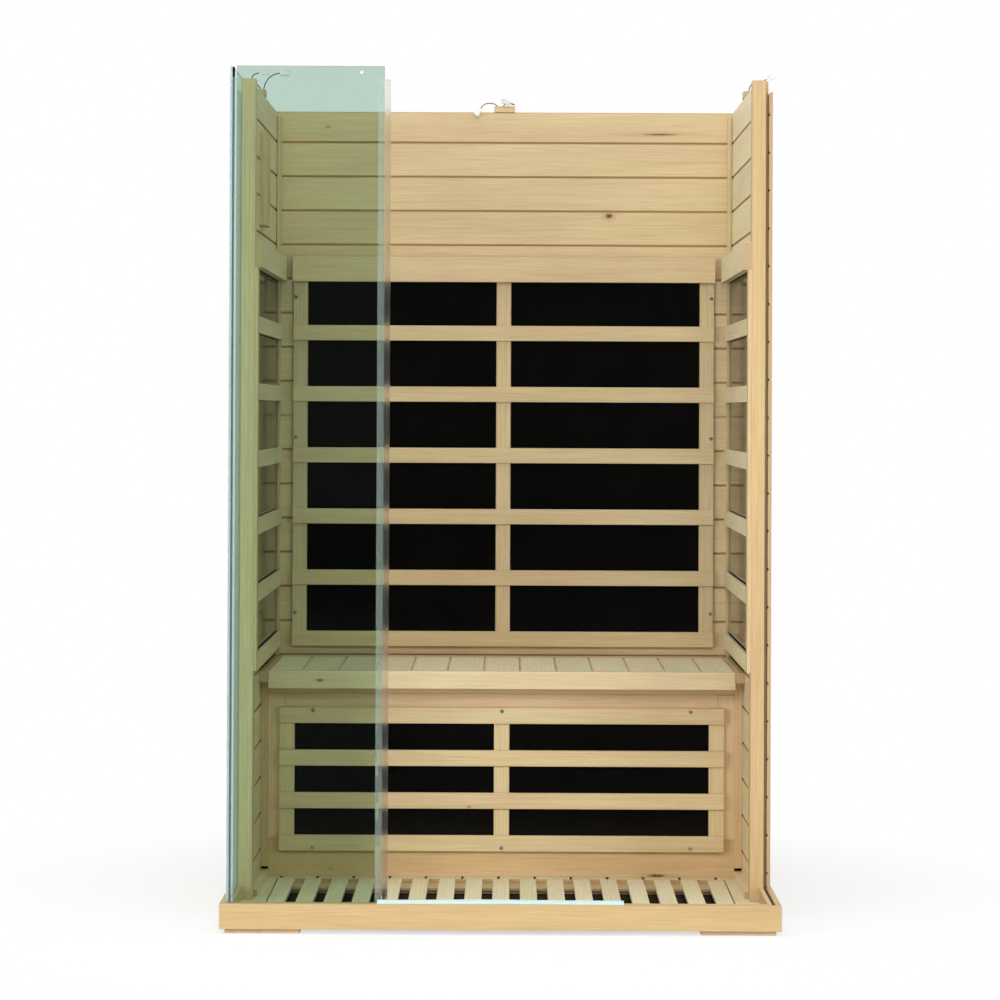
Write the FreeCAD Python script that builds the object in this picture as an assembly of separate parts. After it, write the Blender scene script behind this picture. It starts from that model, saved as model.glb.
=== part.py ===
import FreeCAD, Part
import math
import os

# Infrared sauna cabin, part assembled: base, three walls, heaters, guards, bench and fixed glass.
# X runs to the right, Y to the back, Z up; the origin is on the floor under the middle of the base.

# Base
base_width = 1200.0
base_depth = 1050.0
foot_height = 10.0
foot_width = 160.0
foot_depth = 46.0
foot_inset = 11.0
rim_height = 54.0
rim_thickness = 12.0
front_board_thickness = 16.0
glass_groove = 7.0
lip_thickness = 9.0

# Floor
floor_drop = 30.0
floor_board_thickness = 10.0
floor_pitch = 84.0
floor_joint_offset = -6.0
floor_front_joist = 56.0
floor_side_margin = 72.0
subfloor_thickness = 7.0
subfloor_reach = 104.0
joist_width = 40.0
joist_setback = 9.0
floor_heater_thickness = 2.0
floor_heater_board_thickness = 4.0
floor_heater_border = 12.0
floor_heater_bearing = 25.0
floor_heater_foot_gap = 1.0
slat_count = 17
slat_width = 38.0
slat_side_gap = 3.0
slat_end_gap = 2.0
slat_batten_width = 30.0
slat_batten_thickness = 9.0
slat_batten_first = 20.0
slat_batten_second = 160.0
deck_strip = 31.0

# Walls
wall_height = 1819.0
plank_thickness = 8.0
plank_pitch = 84.0
plank_top_height = 76.0
plank_bevel = 3.0
cladding_bevel = 1.0
plank_least = 9.0
plank_seam = 0.4
frame_thickness = 20.0
back_frame_thickness = 27.0
stud_width = 40.0
back_stud_count = 4
plate_height = 42.0
cladding_rebate = 26.0
post_front_inset = 250.0
post_depth = 46.0
post_width = 30.0
channel_depth = 24.0
corner_trim_width = 11.0
corner_trim_seam = 1.0
corner_trim_drop = 13.0
skirting_height = 15.0

# Heaters and their guards
guard_side_clear = 43.5
guard_stile_width = 35.0
guard_stile_thickness = 8.0
guard_rail_thickness = 8.0
guard_rail_height = 37.0
guard_rail_count = 6
guard_rail_pitch = 150.0
guard_clear_bench = 22.5
guard_board_gap = 107.0
guard_board_height = 60.5
guard_board_thickness = 18.0
guard_board_overhang = 2.0
guard_stile_cover = 8.0
guard_spacer_width = 35.0
heater_thickness = 6.0
heater_lap = 20.0
heater_clear = 1.0
skirt_rail_first = 61.0
skirt_rail_pitch = 98.7
skirt_rail_count = 4
screw_head_diameter = 9.0
screw_head_height = 2.0
screw_head_round = 1.2
screw_shank_diameter = 3.4
screw_length = 14.0
screw_inset_stile = 6.5
screw_inset_rail = 78.0
screw_edge = 8.0
screw_drops = (38.0, 382.0, 812.0)

# Bench and its skirt
bench_seat_height = 483.0
bench_depth = 470.0
bench_back_gap = 4.0
bench_plank_thickness = 18.0
bench_plank_pitch = 84.0
bench_side_gap = 1.5
bench_fascia_height = 40.5
bench_fascia_thickness = 18.0
bench_rear_rail = 66.0
bench_batten_width = 45.0
bench_batten_thickness = 18.0
bench_batten_count = 3
bench_batten_gap = 3.0
ledger_width = 20.0
ledger_height = 24.0
ledger_drop = 1.5
ledge_width = 22.0
ledge_height = 36.0
ledge_front_gap = 2.0
skirt_setback = 70.0
skirt_thickness = 18.0
skirt_bottom_rail = 88.0
skirt_top_rail = 21.0
skirt_stile_width = 38.0
skirt_backing_thickness = 6.0
skirt_head_gap = 1.0
skirt_seam = 0.4
side_trim_width = 18.0
skirt_trim_foot = 22.0

# Glass and seals
glass_thickness = 6.0
glass_rise = 2.0
front_glass_width = 317.5
front_glass_corner_gap = 8.5
front_glass_hole = 8.0
front_glass_hole_side = 50.0
front_glass_hole_top = 13.0
side_glass_front_gap = 3.0
side_glass_back_gap = 1.0
seal_leg = 14.0
seal_wall = 1.2
seal_fin = 12.0
seal_fin_tip = 2.4
seal_top_drop = 29.0
sill_clear = 0.5
corner_lip_width = 12.0
corner_lip_gap = 0.5
corner_lip_thickness = 6.0
corner_core_width = 5.0
corner_core_drop = 3.0
corner_lip_drop = 25.0
strip_length = 527.0
strip_height = 9.5
strip_width = 6.0
strip_bow = 5.0
strip_front_gap = 8.0

# Wall rack
rack_depth = 16.5
rack_width = 95.0
rack_rise = 47.0
rack_drop = 96.0
rack_back_inset = 419.0
rack_end_thickness = 9.0
rack_face_thickness = 5.0
rack_face_height = 54.0
rack_floor_thickness = 8.0

# Cable ducts, leads and connectors
duct_width = 51.0
duct_depth = 20.0
duct_height = 15.0
side_duct_back_inset = 327.0
wire_diameter = 2.2
wire_lift = 0.95
wire_bend_share = 0.45
connector_length = 22.0
connector_height = 13.0
connector_width = 8.0

# Levels and planes that the pieces share
half_width = base_width / 2.0
front = -base_depth / 2.0
back = base_depth / 2.0
rim_top = foot_height + rim_height
deck_top = rim_top - floor_drop
deck_bottom = deck_top - floor_board_thickness
wall_top = deck_top + wall_height
rim_inside = half_width - rim_thickness
back_rim = back - rim_thickness
groove_front = front + front_board_thickness
groove_back = groove_front + glass_groove
sill_back = groove_back + lip_thickness
side_groove = rim_inside - glass_groove
side_lip = side_groove - lip_thickness
frame_inside = rim_inside - frame_thickness
wall_face = frame_inside - plank_thickness
back_frame_face = back_rim - back_frame_thickness
back_face = back_frame_face - plank_thickness
guard_half_width = wall_face - guard_side_clear
post_front = front + post_front_inset
post_back = post_front + post_depth
post_face = side_groove - post_width
seat_top = deck_top + bench_seat_height
seat_bottom = seat_top - bench_plank_thickness
bench_back = back_face - bench_back_gap
bench_front = bench_back - bench_depth
skirt_face = bench_front + skirt_setback
skirt_back = skirt_face + skirt_thickness
deck_front = skirt_face - deck_strip
corner_front = back_face - corner_trim_width
guard_low = seat_top + guard_clear_bench
guard_high = guard_low + (guard_rail_count - 1) * guard_rail_pitch + guard_rail_height + guard_board_gap
guard_top = guard_high + guard_board_height
cladding_top = wall_top - cladding_rebate

os.makedirs("parts", exist_ok=True)
AXES = "XYZ"


def save(node, solids):
    shape = Part.makeCompound(solids) if len(solids) > 1 else solids[0]
    for solid in shape.Solids:
        if not solid.isValid() or solid.Volume <= 0.0:
            raise ValueError(node)
    shape.exportStep("parts/" + node + ".step")


def block(x0, x1, y0, y1, z0, z1):
    low = FreeCAD.Vector(min(x0, x1), min(y0, y1), min(z0, z1))
    return Part.makeBox(abs(x1 - x0), abs(y1 - y0), abs(z1 - z0), low)


def both_sides(x0, x1, y0, y1, z0, z1):
    return [block(side * x0, side * x1, y0, y1, z0, z1) for side in (-1, 1)]


def prism(outline, axis, start, end):
    # The outline is given in the two other axes, in X, Y, Z order.
    along = AXES.index(axis)
    corners = []
    for first, second in outline:
        place = [first, second]
        place.insert(along, start)
        corners.append(FreeCAD.Vector(*place))
    push = [0.0, 0.0, 0.0]
    push[along] = end - start
    return Part.Face(Part.makePolygon(corners + corners[:1])).extrude(FreeCAD.Vector(*push))


def plank(axis, span, width_axis, width, face, rear, outer=False):
    # One board bevelled along its shown face; outer boards are bevelled on both faces, less on the outside.
    low, high = width
    inward = 1.0 if rear > face else -1.0
    bevel = cladding_bevel if outer else plank_bevel
    edge = face + inward * bevel
    shown = [(low, edge), (low + bevel, face), (high - bevel, face), (high, edge)]
    hidden = [(high, rear), (low, rear)]
    if outer:
        edge = rear - inward * plank_bevel
        hidden = [(high, edge), (high - plank_bevel, rear), (low + plank_bevel, rear), (low, edge)]
    depth_axis = [a for a in AXES if a not in (axis, width_axis)][0]
    outline = shown + hidden
    if AXES.index(depth_axis) < AXES.index(width_axis):
        outline = [(d, w) for w, d in outline]
    return prism(outline, axis, span[0], span[1])


def rows(low, high, joint, pitch):
    # Widths of side-by-side boards from low to high with one joint at the given place.
    first = joint - math.floor((joint - low) / pitch) * pitch
    joints = [low]
    place = first
    while place < high:
        if place - low > plank_least and high - place > plank_least:
            joints.append(place)
        place += pitch
    joints.append(high)
    gap = plank_seam / 2.0
    return [(a + gap, b - gap) for a, b in zip(joints[:-1], joints[1:])]


def tube(points, diameter):
    # Straight runs joined by tangent arcs; returns the solid, its length and its smallest radius.
    points = [FreeCAD.Vector(*p) for p in points]
    edges = []
    radii = []
    here = points[0]
    for before, corner, after in zip(points[:-2], points[1:-1], points[2:]):
        into = (corner - before).normalize()
        out = (after - corner).normalize()
        turn = into.getAngle(out)
        reach = wire_bend_share * min((corner - before).Length, (after - corner).Length)
        radii.append(reach / math.tan(turn / 2.0))
        start = corner - into * reach
        end = corner + out * reach
        inward = (out - into).normalize()
        centre = corner + inward * (radii[-1] / math.cos(turn / 2.0))
        middle = centre - inward * radii[-1]
        edges.append(Part.makeLine(here, start))
        edges.append(Part.Arc(start, middle, end).toShape())
        here = end
    edges.append(Part.makeLine(here, points[-1]))
    path = Part.Wire(edges)
    heading = points[1] - points[0]
    circle = Part.Wire([Part.makeCircle(diameter / 2.0, points[0], heading)])
    solid = path.makePipeShell([circle], True, False)
    return solid, path.Length, min(radii)


# Feet and base rim
foot_outer = half_width - foot_inset
foot_inner = foot_outer - foot_width
feet = []
for y0 in (front + foot_inset, back - foot_inset - foot_depth):
    feet += both_sides(foot_inner, foot_outer, y0, y0 + foot_depth, 0.0, foot_height)
save("foot_pads", feet)
save("base_front_board", [block(-half_width, half_width, front, groove_front, foot_height, rim_top)])
rails = both_sides(rim_inside, half_width, groove_front, back, foot_height, rim_top)
rails.append(block(-rim_inside, rim_inside, back_rim, back, foot_height, rim_top))
save("base_rim_rails", rails)

# Front pane: the pane stands in the front groove, set back from the left corner
front_pane_y = groove_front + (glass_groove - glass_thickness) / 2.0
front_pane_back = front_pane_y + glass_thickness
front_pane_left = -(side_groove - front_glass_corner_gap)
front_pane_right = front_pane_left + front_glass_width
glass_top = wall_top + glass_rise

# Sill: bed of the front groove, its filler across the doorway, front lip and side lips
strips = [
    block(-rim_inside, rim_inside, groove_front, groove_back, deck_bottom, deck_top),
    block(front_pane_right + sill_clear, side_lip, groove_front, groove_back, deck_top, rim_top),
    block(-side_lip, side_lip, groove_back, sill_back, deck_bottom, rim_top),
]
strips += both_sides(side_lip, side_groove, groove_back, post_front, deck_top, rim_top)
save("sill_strips", strips)

# Floor frame: front joist under the sill, side joists, cross joists under the board behind the floor heater
front_joist_back = groove_front + floor_front_joist
well_half = rim_inside - floor_side_margin + slat_end_gap
subfloor_bottom = deck_bottom - subfloor_thickness
subfloor_front = skirt_face - subfloor_reach
joists = [block(-rim_inside, rim_inside, groove_front, front_joist_back, foot_height, deck_bottom)]
joists += both_sides(well_half, rim_inside, front_joist_back, back_rim, foot_height, deck_bottom)
first_joist = subfloor_front + joist_setback
for y0 in (first_joist, (first_joist + back_rim - joist_width) / 2.0, back_rim - joist_width):
    joists.append(block(-well_half, well_half, y0, y0 + joist_width, foot_height, subfloor_bottom))
save("floor_joists", joists)
save("subfloor", [block(-well_half, well_half, subfloor_front, back_rim, subfloor_bottom, deck_bottom)])

# Floor heater on its board under the joists
heater_board_front = front + foot_inset + foot_depth + floor_heater_foot_gap
heater_board_back = first_joist + floor_heater_bearing
save("floor_heater_board", [block(-(well_half + floor_heater_bearing), well_half + floor_heater_bearing,
                                  heater_board_front, heater_board_back,
                                  foot_height - floor_heater_board_thickness, foot_height)])
save("floor_heater", [block(-(well_half - floor_heater_border), well_half - floor_heater_border,
                            front_joist_back + floor_heater_border, first_joist - floor_heater_border,
                            foot_height, foot_height + floor_heater_thickness)])

# Deck: boards under the bench and one board along each side of the slats
deck = []
for width in rows(-rim_inside, rim_inside, floor_joint_offset, floor_pitch):
    deck.append(plank("Y", (deck_front, back_rim), "X", width, deck_top, deck_bottom))
deck += both_sides(well_half, rim_inside, sill_back, deck_front, deck_bottom, deck_top)
save("floor_deck", deck)

# Loose slatted floor with its two tie battens
slat_front = sill_back + slat_end_gap
slat_back = deck_front - slat_end_gap
slat_half = well_half - slat_side_gap
slat_pitch = (2.0 * slat_half - slat_width) / (slat_count - 1)
slats = []
for number in range(slat_count):
    x0 = number * slat_pitch - slat_half
    slats.append(block(x0, x0 + slat_width, slat_front, slat_back, deck_bottom, deck_top))
save("floor_slats", slats)
ties = []
for reach in (slat_batten_first, slat_batten_second):
    y0 = front_joist_back + reach
    ties.append(block(-slat_half, slat_half, y0, y0 + slat_batten_width,
                      deck_bottom - slat_batten_thickness, deck_bottom))
save("floor_slat_battens", ties)

# Walls
joint = wall_top - plank_top_height
inner_rows = rows(deck_top, wall_top, joint, plank_pitch)
outer_rows = rows(rim_top, cladding_top, joint, plank_pitch)
plate_top = wall_top - plate_height
plate_bottom = deck_top + plate_height
for side, name in ((-1, "left"), (1, "right")):
    boards = [plank("Y", (post_back, back_face), "Z", w, side * wall_face, side * frame_inside)
              for w in inner_rows]
    save(name + "_wall_planks", boards)
    cladding_face = side * (rim_inside + plank_thickness)
    boards = [plank("Y", (post_front, back_rim), "Z", w, cladding_face, side * rim_inside, True)
              for w in outer_rows]
    save(name + "_wall_cladding", boards)
    save(name + "_front_post", [block(side * post_face, side * side_groove, post_front, post_back,
                                      deck_top, wall_top)])
    studs = [block(side * side_groove, side * rim_inside, post_front + channel_depth, post_back,
                   deck_top, wall_top)]
    starts = (post_back, (post_back + back_face - stud_width) / 2.0, back_face - stud_width)
    for y0 in starts:
        studs.append(block(side * frame_inside, side * rim_inside, y0, y0 + stud_width, deck_top, wall_top))
    for y0, y1 in zip(starts[:-1], starts[1:]):
        for z0, z1 in ((deck_top, plate_bottom), (plate_top, wall_top)):
            studs.append(block(side * frame_inside, side * rim_inside, y0 + stud_width, y1, z0, z1))
    save(name + "_wall_frame", studs)

save("back_wall_planks", [plank("X", (-rim_inside, rim_inside), "Z", w, back_face, back_frame_face)
                          for w in inner_rows])
cladding_half = rim_inside + plank_thickness
cladding_back = back_rim + plank_thickness
save("back_wall_cladding", [plank("X", (-cladding_half, cladding_half), "Z", w, cladding_back, back_rim, True)
                            for w in outer_rows])
studs = []
back_stud_pitch = (2.0 * rim_inside - stud_width) / (back_stud_count - 1)
starts = [k * back_stud_pitch - rim_inside for k in range(back_stud_count)]
for x0 in starts:
    studs.append(block(x0, x0 + stud_width, back_frame_face, back_rim, deck_top, wall_top))
for x0, x1 in zip(starts[:-1], starts[1:]):
    for z0, z1 in ((deck_top, plate_bottom), (plate_top, wall_top)):
        studs.append(block(x0 + stud_width, x1, back_frame_face, back_rim, z0, z1))
save("back_wall_frame", studs)

# Corner strips beside the back wall, upright strips beside the bench skirt, and battens along the floor
corner_outside = wall_face - corner_trim_seam
corner_side = corner_outside - corner_trim_width
ledger_top = seat_top - ledger_drop
ledger_bottom = ledger_top - ledger_height
ledge_bottom = seat_bottom - ledge_height
trim_inside = wall_face - side_trim_width
corner_top = wall_top - corner_trim_drop
trims = both_sides(corner_side, corner_outside, corner_front, back_face, ledger_top, corner_top)
trims += both_sides(trim_inside, wall_face, skirt_face, skirt_back, deck_top + skirt_trim_foot, ledger_bottom)
save("corner_trims", trims)
save("skirting_battens", both_sides(trim_inside, wall_face, post_back, skirt_back,
                                    deck_top, deck_top + skirting_height))

# Back heaters between the stiles of the back guard
stile_face = back_face - guard_stile_thickness
stile_inner = guard_half_width - guard_stile_width
stile_middle = guard_stile_width / 2.0
stile_top = guard_top - guard_stile_cover
stiles = both_sides(stile_inner, guard_half_width, stile_face, back_face, guard_low, stile_top)
stiles.append(block(-stile_middle, stile_middle, stile_face, back_face, guard_low, stile_top))
save("back_guard_stiles", stiles)
rail_levels = [guard_low + k * guard_rail_pitch for k in range(guard_rail_count)]
rails = [block(-guard_half_width, guard_half_width, stile_face - guard_rail_thickness, stile_face,
               z, z + guard_rail_height) for z in rail_levels]
board_half = guard_half_width + guard_board_overhang
rails.append(block(-board_half, board_half, stile_face - guard_board_thickness, stile_face,
                   guard_high, guard_top))
save("back_guard_rails", rails)
heater_low = guard_low + heater_lap
heater_high = guard_high + heater_lap
for side, name in ((-1, "left"), (1, "right")):
    inner = side * (stile_middle + heater_clear)
    outer = side * (stile_inner - heater_clear)
    save("back_heater_" + name, [block(inner, outer, back_face - heater_thickness, back_face,
                                       heater_low, heater_high)])

# Side heaters, with rails from a stile on the front post to the corner strip
side_stile_back = post_front + guard_stile_width
side_stile_inner = post_face - guard_stile_thickness
stiles = both_sides(side_stile_inner, post_face, post_front, side_stile_back, guard_low, guard_high)
save("side_guard_stiles", stiles)
for side, name in ((-1, "left"), (1, "right")):
    save(name + "_heater", [block(side * (wall_face - heater_thickness), side * wall_face,
                                  post_back + heater_clear, corner_front - heater_clear,
                                  heater_low, heater_high)])
    rails = [block(side * side_stile_inner, side * post_face, side_stile_back, corner_front,
                   z, z + guard_rail_height) for z in rail_levels]
    rails.append(block(side * (post_face - guard_board_thickness), side * post_face, post_front, corner_front,
                       guard_high, guard_top))
    save(name + "_guard_rails", rails)

# Bench skirt: rails, stiles and a backing board that carries the calf heaters
skirt_half = trim_inside
skirt_inner = skirt_half - skirt_stile_width
skirt_low = deck_top + skirt_bottom_rail
skirt_top = seat_bottom - bench_batten_thickness - skirt_head_gap
skirt_high = skirt_top - skirt_top_rail
frame = [
    block(-skirt_half, skirt_half, skirt_face, skirt_back, deck_top, skirt_low),
    block(-skirt_half, skirt_half, skirt_face, skirt_back, skirt_high, skirt_top),
]
panel_low = skirt_low + skirt_seam
panel_high = skirt_high - skirt_seam
backing_half = skirt_inner - skirt_seam
frame += both_sides(skirt_inner, skirt_half, skirt_face, skirt_back, panel_low, panel_high)
save("skirt_frame", frame)
save("skirt_backing", [block(-backing_half, backing_half, skirt_face, skirt_face + skirt_backing_thickness,
                             panel_low, panel_high)])
skirt_levels = [deck_top + skirt_rail_first + k * skirt_rail_pitch for k in range(skirt_rail_count)]
skirt_guard_low = skirt_levels[0]
skirt_guard_high = skirt_levels[-1] + guard_rail_height
skirt_stile_face = skirt_face - guard_stile_thickness
stiles = both_sides(stile_inner, guard_half_width, skirt_stile_face, skirt_face,
                    skirt_guard_low, skirt_guard_high)
stiles.append(block(-stile_middle, stile_middle, skirt_stile_face, skirt_face,
                    skirt_guard_low, skirt_guard_high))
spacer_middle = guard_half_width - screw_inset_rail
spacer_height = heater_lap - heater_clear
for z0 in (skirt_guard_low, skirt_guard_high - spacer_height):
    stiles += both_sides(spacer_middle - guard_spacer_width / 2.0, spacer_middle + guard_spacer_width / 2.0,
                         skirt_stile_face, skirt_face, z0, z0 + spacer_height)
save("skirt_guard_stiles", stiles)
skirt_rail_face = skirt_stile_face - guard_rail_thickness
save("skirt_guard_rails", [block(-guard_half_width, guard_half_width, skirt_rail_face, skirt_stile_face,
                                 z, z + guard_rail_height) for z in skirt_levels])
for side, name in ((-1, "left"), (1, "right")):
    inner = side * (stile_middle + heater_clear)
    outer = side * (stile_inner - heater_clear)
    save("calf_heater_" + name, [block(inner, outer, skirt_face - heater_thickness, skirt_face,
                                       skirt_guard_low + heater_lap, skirt_guard_high - heater_lap)])


def screw(x, face, z):
    # Domed head on the face of the wood, shank driven straight back.
    head = Part.makeCylinder(screw_head_diameter / 2.0, screw_head_height, FreeCAD.Vector(x, face, z),
                             FreeCAD.Vector(0, -1, 0))
    rim = [edge for edge in head.Edges if abs(edge.BoundBox.YMax - (face - screw_head_height)) < 1e-6]
    head = head.makeFillet(screw_head_round, rim[:1])
    shank = Part.makeCylinder(screw_shank_diameter / 2.0, screw_length, FreeCAD.Vector(x, face, z),
                              FreeCAD.Vector(0, 1, 0))
    return head.fuse(shank).removeSplitter()


screws = []
for drop in screw_drops:
    for side in (-1, 1):
        screws.append(screw(side * (guard_half_width - screw_inset_stile), stile_face, guard_high - drop))
for x in (-spacer_middle, 0.0, spacer_middle):
    screws.append(screw(x, skirt_rail_face, skirt_guard_high - screw_edge))
    screws.append(screw(x, skirt_rail_face, skirt_guard_low + screw_edge))
save("guard_screws", screws)

# Bench: planks from the fascia to a rear rail, tied by battens underneath
ledger_inside = wall_face - ledger_width
bench_half = ledger_inside - bench_side_gap
fascia_back = bench_front + bench_fascia_thickness
rear_rail_front = bench_back - bench_rear_rail
bench_rows = rows(-bench_half, bench_half, bench_plank_pitch / 2.0, bench_plank_pitch)
save("bench_planks", [plank("Y", (fascia_back, rear_rail_front), "X", w, seat_top, seat_bottom)
                      for w in bench_rows])
save("bench_rear_rail", [block(-bench_half, bench_half, rear_rail_front, bench_back, seat_bottom, seat_top)])
fascia_bottom = seat_top - bench_fascia_height
save("bench_fascia", [block(-bench_half, bench_half, bench_front, fascia_back, fascia_bottom, seat_top)])
ledge_inside = ledger_inside - ledge_width
tie_half = ledge_inside - bench_batten_gap
ties = []
tie_first = fascia_back
tie_last = bench_back - bench_batten_width
for number in range(bench_batten_count):
    y0 = tie_first + number * (tie_last - tie_first) / (bench_batten_count - 1)
    ties.append(block(-tie_half, tie_half, y0, y0 + bench_batten_width,
                      seat_bottom - bench_batten_thickness, seat_bottom))
save("bench_battens", ties)
ledgers = both_sides(ledger_inside, wall_face, bench_front, corner_front, ledger_bottom, ledger_top)
ledge_front = skirt_back + ledge_front_gap
ledgers += both_sides(ledge_inside, ledger_inside, ledge_front, back_face, ledge_bottom, seat_bottom)
ledgers += both_sides(ledger_inside, wall_face, ledge_front, back_face, ledge_bottom, ledger_bottom)
save("bench_ledgers", ledgers)

# Fixed glass: the front pane with its drilled hole and the pane on the left side
pane = block(front_pane_left, front_pane_right, front_pane_y, front_pane_back, deck_top, glass_top)
hole_centre = FreeCAD.Vector(front_pane_right - front_glass_hole_side, front_pane_y,
                             glass_top - front_glass_hole_top)
hole = Part.makeCylinder(front_glass_hole / 2.0, glass_thickness, hole_centre, FreeCAD.Vector(0, 1, 0))
save("front_glass", [pane.cut(hole)])
side_pane_out = rim_inside - (glass_groove - glass_thickness) / 2.0
side_pane_front = front_pane_back + side_glass_front_gap
side_pane_back = post_front + channel_depth - side_glass_back_gap
save("side_glass", [block(-side_pane_out, -(side_pane_out - glass_thickness), side_pane_front, side_pane_back,
                          deck_top, glass_top)])

# Seals: dark core in the groove at the corner with a clear lip before it, clear seal on the pane's free edge
lip_right = front_pane_left - corner_lip_gap
lip_left = lip_right - corner_lip_width
save("corner_seal_profile", [block(lip_left, lip_right, front_pane_y - corner_lip_thickness, front_pane_y,
                                   rim_top, glass_top - corner_lip_drop)])
core_left = (lip_left + lip_right - corner_core_width) / 2.0
save("corner_seal_core", [block(core_left, core_left + corner_core_width, front_pane_y, front_pane_back,
                                deck_top, glass_top - corner_core_drop)])
seal_web = front_pane_right + seal_wall
seal_tip = seal_web + seal_fin
seal_middle = (front_pane_y + front_pane_back) / 2.0
seal_outline = [
    (front_pane_right - seal_leg, front_pane_y),
    (front_pane_right, front_pane_y),
    (front_pane_right, front_pane_back),
    (front_pane_right - seal_leg, front_pane_back),
    (front_pane_right - seal_leg, front_pane_back + seal_wall),
    (seal_web, front_pane_back + seal_wall),
    (seal_tip, seal_middle + seal_fin_tip / 2.0),
    (seal_tip, seal_middle - seal_fin_tip / 2.0),
    (seal_web, front_pane_y - seal_wall),
    (front_pane_right - seal_leg, front_pane_y - seal_wall),
]
save("door_edge_seal", [prism(seal_outline, "Z", rim_top + sill_clear, glass_top - seal_top_drop)])

# Loose door strip lying on the sill, bowed along its length
strip_y = front + strip_front_gap
strip_middle = strip_y + strip_bow
half_strip = strip_length / 2.0
near = Part.Arc(FreeCAD.Vector(-half_strip, strip_y, rim_top), FreeCAD.Vector(0, strip_middle, rim_top),
                FreeCAD.Vector(half_strip, strip_y, rim_top)).toShape()
far = Part.Arc(FreeCAD.Vector(half_strip, strip_y + strip_width, rim_top),
               FreeCAD.Vector(0, strip_middle + strip_width, rim_top),
               FreeCAD.Vector(-half_strip, strip_y + strip_width, rim_top)).toShape()
ends = [Part.makeLine(FreeCAD.Vector(x, strip_y, rim_top), FreeCAD.Vector(x, strip_y + strip_width, rim_top))
        for x in (half_strip, -half_strip)]
strip_outline = Part.Wire([near, ends[0], far, ends[1]])
save("threshold_strip", [Part.Face(strip_outline).extrude(FreeCAD.Vector(0, 0, strip_height))])

# Rack on the left wall: two ends, a low face board and a floor
rack_y1 = back_face - rack_back_inset
rack_y0 = rack_y1 - rack_width
rack_top = wall_top - rack_drop
rack_bottom = guard_top + rack_rise
rack_out = -(wall_face - rack_depth)
rack_in = -wall_face
face_in = rack_out - rack_face_thickness
rack = [
    block(rack_in, rack_out, rack_y0, rack_y0 + rack_end_thickness, rack_bottom, rack_top),
    block(rack_in, rack_out, rack_y1 - rack_end_thickness, rack_y1, rack_bottom, rack_top),
    block(face_in, rack_out, rack_y0 + rack_end_thickness, rack_y1 - rack_end_thickness,
          rack_bottom, rack_bottom + rack_face_height),
    block(rack_in, face_in, rack_y0 + rack_end_thickness, rack_y1 - rack_end_thickness,
          rack_bottom, rack_bottom + rack_floor_thickness),
]
save("wall_rack", rack)

# Cable ducts on the wall tops
duct_top = wall_top + duct_height
side_duct_y1 = back_face - side_duct_back_inset
side_duct_y0 = side_duct_y1 - duct_width
ducts = both_sides(wall_face, wall_face + duct_depth, side_duct_y0, side_duct_y1, wall_top, duct_top)
ducts.append(block(-duct_width / 2.0, duct_width / 2.0, back_face, back_face + duct_depth,
                   wall_top, duct_top))
save("cable_ducts", ducts)

# Leads: each starts just above a duct and ends in a connector; points are offsets from the duct's top centre
lead_level = duct_top + wire_lift
side_duct_x = wall_face + duct_depth / 2.0
side_duct_y = (side_duct_y0 + side_duct_y1) / 2.0
back_duct = (0.0, back_face + duct_depth / 2.0, lead_level)
left_duct = (-side_duct_x, side_duct_y, lead_level)
right_duct = (side_duct_x, side_duct_y, lead_level)
leads = {
    "lead_back_red": (back_duct, [(-17, 2, 0), (-24, -1, 5.5), (-38, -10, 6.5), (-53, -20, 2),
                                  (-60, -24, -9)]),
    "lead_back_short": (back_duct, [(-4, 6, 0), (1, 5, 6), (12, 1, 7), (21, -5, 5), (24.5, -14, 2.5),
                                    (21.5, -22.5, 1.5), (13, -26, 4)]),
    "lead_left_black": (left_duct, [(5, -9, 0), (8, -10, 13), (18, -11, 28), (33, -11, 37),
                                    (44, -12, 37.5)]),
    "lead_left_short": (left_duct, [(-1, -14, 0), (-7, -14, 10), (-19, -14, 18), (-23, -13, 28),
                                    (-16, -12.5, 36), (-5, -12, 38.5)]),
    "lead_right": (right_duct, [(2, -9, 0), (5, -10, 13), (16, -11, 22), (32, -11, 22), (44, -12, 28)]),
}
connectors = []
for name, (start, offsets) in leads.items():
    route = [tuple(a + b for a, b in zip(start, offset)) for offset in offsets]
    solid, length, radius = tube(route, wire_diameter)
    section = math.pi * wire_diameter ** 2 / 4.0
    print(name, "length", round(length, 2), "radius", round(radius, 2),
          "volume ratio", round(solid.Volume / (section * length), 4))
    save(name, [solid])
    last = FreeCAD.Vector(*route[-1])
    heading = (last - FreeCAD.Vector(*route[-2])).normalize()
    broad = heading.cross(FreeCAD.Vector(0, 1, 0)).normalize()
    turn = FreeCAD.Rotation(heading, broad.cross(heading), broad, "XZY")
    body = Part.makeBox(connector_length, connector_width, connector_height,
                        FreeCAD.Vector(0, -connector_width / 2.0, -connector_height / 2.0))
    body.Placement = FreeCAD.Placement(last, turn).multiply(body.Placement)
    connectors.append(body)
save("lead_connectors", connectors)
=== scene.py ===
import math

import bmesh
import bpy
from mathutils import Matrix, Vector


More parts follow.
